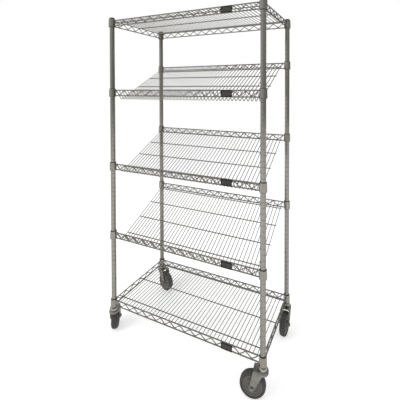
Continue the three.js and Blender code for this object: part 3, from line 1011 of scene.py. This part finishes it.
    def _fork_sheet(self) -> bpy.types.Mesh:
        """The middle surface of the fork: two cheeks, joined over the wheel and round the dish's nose.

        Returns:
            The surface as a mesh without thickness.
        """
        skirt = self.crown_top - self.dish_depth - self.gap
        columns = self.cheek_columns
        turns = [math.pi * (0.5 + k / self.nose_steps) for k in range(1, self.nose_steps)]
        sheet = bmesh.new()
        rows = []
        for across, height in self._fork_section():
            front, back = self._cheek_span(height)
            cheek = [back + (front - back) * k / columns for k in range(columns + 1)]
            nose = [(across * math.cos(turn), across * math.sin(turn)) for turn in turns]
            outline = [(x, across) for x in cheek] + (nose if height > skirt else [])
            outline += [(x, -across) for x in reversed(cheek)]
            rows.append([sheet.verts.new(self.swivel @ Vector((x, y, height))) for x, y in outline])
        cheeks_only = 2 * (columns + 1)
        for low, high in zip(rows, rows[1:]):
            if min(len(low), len(high)) > cheeks_only:
                strips = [(low, high)]
            else:
                strips = [(low[:columns + 1], high[:columns + 1]), (low[-columns - 1:], high[-columns - 1:])]
            for below, above in strips:
                for k in range(len(below) - 1):
                    sheet.faces.new((below[k], below[k + 1], above[k + 1], above[k]))
        bmesh.ops.remove_doubles(sheet, verts=sheet.verts, dist=self.merge_distance)
        bmesh.ops.recalc_face_normals(sheet, faces=sheet.faces)
        mesh = bpy.data.meshes.new("fork_sheet")
        sheet.to_mesh(mesh)
        sheet.free()
        return mesh

    def _fork(self) -> None:
        """Builds the fork: its bent sheet, given its thickness and rounded edges."""
        tag = self.corner.tag
        carrier = put_in_scene("fork_sheet", self._fork_sheet())
        wall = carrier.modifiers.new("wall", "SOLIDIFY")
        wall.thickness = self.fork_sheet
        wall.offset = 0.0
        edge = carrier.modifiers.new("edge", "BEVEL")
        edge.width = self.fork_edge
        edge.segments = self.fork_edge_steps
        edge.limit_method = "ANGLE"
        edge.angle_limit = math.radians(self.fork_edge_angle)
        piece = Piece(f"caster_{tag}_fork_sheet", self.finishes[Surface.FORK])
        piece.add_mesh(settle(carrier))
        piece.finish(f"swivel_{tag}", "zinc", (f"caster_{tag}_fork",))

    def _axle_bolt(self) -> None:
        """Builds the axle bolt with its washers, head and nut."""
        tag = self.corner.tag
        seat = self.fork_inside + self.fork_sheet + self.gap
        bolt = [(0.0, -seat), (self.axle_radius, -seat)]
        bolt += [(radius, seat + rise) for radius, rise in self.axle_end]
        piece = Piece(f"caster_{tag}_axle_bolt", self.finishes[Surface.FORK])
        piece.turn(bolt, self.axle, sides=self.axle_sides)
        for side in (-1, 1):
            for outline, sides in ((self.washer, self.washer_sides), (self.nut, HEXAGON)):
                profile = [(radius, side * (seat + rise)) for radius, rise in outline]
                piece.turn(profile, self.axle, sides=sides)
        piece.finish(f"swivel_{tag}", "zinc", (f"caster_{tag}_axle",))

    def _wheel(self) -> None:
        """Builds the wheel's ringed core and its rounded tyre."""
        tag = self.corner.tag
        core = Piece(f"caster_{tag}_wheel_disc", self.finishes[Surface.CORE])
        core.turn(both_sides(self.core_half), self.axle, sides=self.core_sides)
        core.finish(f"wheel_{tag}", "core", (f"caster_{tag}_wheel_core",), crease=self.core_crease)
        tyre = Piece(f"caster_{tag}_tread", self.finishes[Surface.TYRE])
        tyre.turn(both_sides(self.tyre_half), self.axle, sides=self.tyre_sides)
        tyre.finish(f"wheel_{tag}", "tyre", (f"caster_{tag}_tyre",))


@dataclass(frozen=True)
class Lamp:
    """A soft square lamp: its name, its place, its side in metres and its power in watts."""

    name: str
    place: Point
    side: float
    power: float

    def hang(self, aim: Point) -> None:
        """Hangs the lamp so that it faces a point.

        Args:
            aim: The point.
        """
        data = bpy.data.lights.new(self.name, "AREA")
        data.size = self.side
        data.energy = self.power
        lamp = put_in_scene(self.name, data)
        lamp.visible_glossy = False
        lamp.location = self.place
        lamp.rotation_euler = (Vector(aim) - Vector(self.place)).to_track_quat("-Z", "Y").to_euler()


KEY_LAMP = Lamp("key_lamp", (-2.2, -3.2, 3.4), 2.4, 70.0)
FILL_LAMP = Lamp("fill_lamp", (3.2, -1.8, 2.2), 2.0, 26.0)


@dataclass
class Studio:
    """The floor, the lamps, the white surroundings and the camera at the photograph's angle.

    The camera's focal length and centre are in pixels of the photograph, and its angles in degrees.
    """

    floor_half: float = 9.0
    floor_colour: Colour = (0.93, 0.93, 0.93)
    floor_roughness: float = 0.9
    floor_specular: float = 0.1
    floor_lift: float = 0.42
    room_light: float = 0.62
    room_tone: float = 0.42
    room_heading: float = -98.0
    room_rise: float = 0.4
    lamp_aim: Point = (0.0, 0.0, 0.8)
    camera_place: Point = (0.8388, -1.3981, 1.3567)
    heading: float = -23.573
    pitch: float = -1.019
    focal_px: float = 290.3
    centre_px: tuple[float, float] = (238.4, 95.0)
    image_px: float = 400.0
    sensor: float = 36.0

    def build(self) -> None:
        """Builds the studio."""
        bpy.context.scene.view_settings.view_transform = "Standard"
        self._floor()
        self._world()
        for lamp in (KEY_LAMP, FILL_LAMP):
            lamp.hang(self.lamp_aim)
        self._camera()

    def _floor(self) -> None:
        """Builds the pale floor, lifted to white for what sees it without lighting the rack."""
        material = bpy.data.materials.new("pale_floor")
        material.use_nodes = True
        bench = NodeBench(material.node_tree)
        lift = bench.add("ShaderNodeMath", self._seen_rays(bench), self.floor_lift, operation="MULTIPLY")
        bench.fill(material.node_tree.nodes["Principled BSDF"], Base_Color=(*self.floor_colour, 1.0),
                   Roughness=self.floor_roughness, Specular_IOR_Level=self.floor_specular,
                   Emission_Color=WHITE, Emission_Strength=lift)
        half = self.floor_half
        corners = [(-half, -half, 0.0), (half, -half, 0.0), (half, half, 0.0), (-half, half, 0.0)]
        mesh = bpy.data.meshes.new("floor")
        mesh.from_pydata(corners, [], [(0, 1, 2, 3)])
        mesh.materials.append(material)
        floor = put_in_scene("floor", mesh)

    def _seen_rays(self, bench: NodeBench) -> bpy.types.NodeSocket:
        """Tells the rays that see a thing, straight or in metal or glass, from those that light the rack.

        Args:
            bench: The bench of the tree that asks.

        Returns:
            A socket that is 1 for camera, glossy and transmission rays and 0 for the others.
        """
        rays = bench.tree.nodes.new("ShaderNodeLightPath").outputs
        seen = rays["Is Camera Ray"]
        for name in ("Is Glossy Ray", "Is Transmission Ray"):
            seen = bench.add("ShaderNodeMath", seen, rays[name], operation="MAXIMUM")
        return seen

    def _world(self) -> None:
        """Makes the surroundings white to the camera, toned in reflections, and dimmer as a light."""
        world = bpy.data.worlds.new("white_room")
        bpy.context.scene.world = world
        world.use_nodes = True
        tree = world.node_tree
        bench = NodeBench(tree)
        light = tree.nodes["Background"]
        bench.fill(light, Color=WHITE, Strength=self.room_light)
        seen = bench.add("ShaderNodeBackground", Color=WHITE, Strength=self._room(bench))
        mix = bench.add("ShaderNodeMixShader", self._seen_rays(bench), light.outputs[0], seen)
        bench.fill(tree.nodes["World Output"], Surface=mix)

    def _room(self, bench: NodeBench) -> bpy.types.NodeSocket:
        """The room as it is seen: white to the camera, and in metal lighter on one side and overhead.

        Args:
            bench: The bench of the world's tree.

        Returns:
            How bright the room is in each direction.
        """
        nodes = bench.tree.nodes
        bright = math.radians(self.room_heading)
        toward = nodes.new("ShaderNodeVectorMath")
        bench.fill(toward, nodes.new("ShaderNodeTexCoord").outputs["Generated"],
                   (math.sin(bright), math.cos(bright), self.room_rise), operation="DOT_PRODUCT")
        tone = bench.add("ShaderNodeMapRange", Value=toward.outputs["Value"], From_Min=-1.0, From_Max=1.0,
                         To_Min=self.room_tone, To_Max=1.0)
        camera_rays = nodes.new("ShaderNodeLightPath").outputs["Is Camera Ray"]
        return bench.add("ShaderNodeMath", tone, camera_rays, operation="MAXIMUM")

    def _camera(self) -> None:
        """Puts the camera where the photograph was taken from."""
        data = bpy.data.cameras.new("photo_camera")
        data.sensor_width = self.sensor
        data.lens = self.focal_px * self.sensor / self.image_px
        data.shift_x = (self.image_px / 2 - self.centre_px[0]) / self.image_px
        data.shift_y = (self.centre_px[1] - self.image_px / 2) / self.image_px
        heading, pitch = math.radians(self.heading), math.radians(self.pitch)
        level = math.cos(pitch)
        ahead = Vector((math.sin(heading) * level, math.cos(heading) * level, math.sin(pitch)))
        camera = put_in_scene("photo_camera", data)
        camera.location = self.camera_place
        camera.rotation_euler = ahead.to_track_quat("-Z", "Y").to_euler()
        bpy.context.scene.camera = camera


def main() -> None:
    """Builds the rack's pieces and the studio in order."""
    logging.basicConfig(level=logging.INFO, format="%(name)s: %(message)s")
    effects = EffectGroups()
    finishes = {surface: surface.value.material(effects) for surface in Surface}
    wires, welds = WireTool(finishes[Surface.WIRE]), WeldTool(finishes[Surface.WIRE])
    for corner in Corner:
        Post(corner, finishes).build()
    for level in Level:
        Shelf(level, finishes, wires, welds).build()
    Sleeves(finishes).build()
    for level in Level:
        LabelPlate(level, finishes).build()
    for corner in Corner:
        Caster(corner, finishes).build()
    Studio().build()


if __name__ == "__main__":
    main()
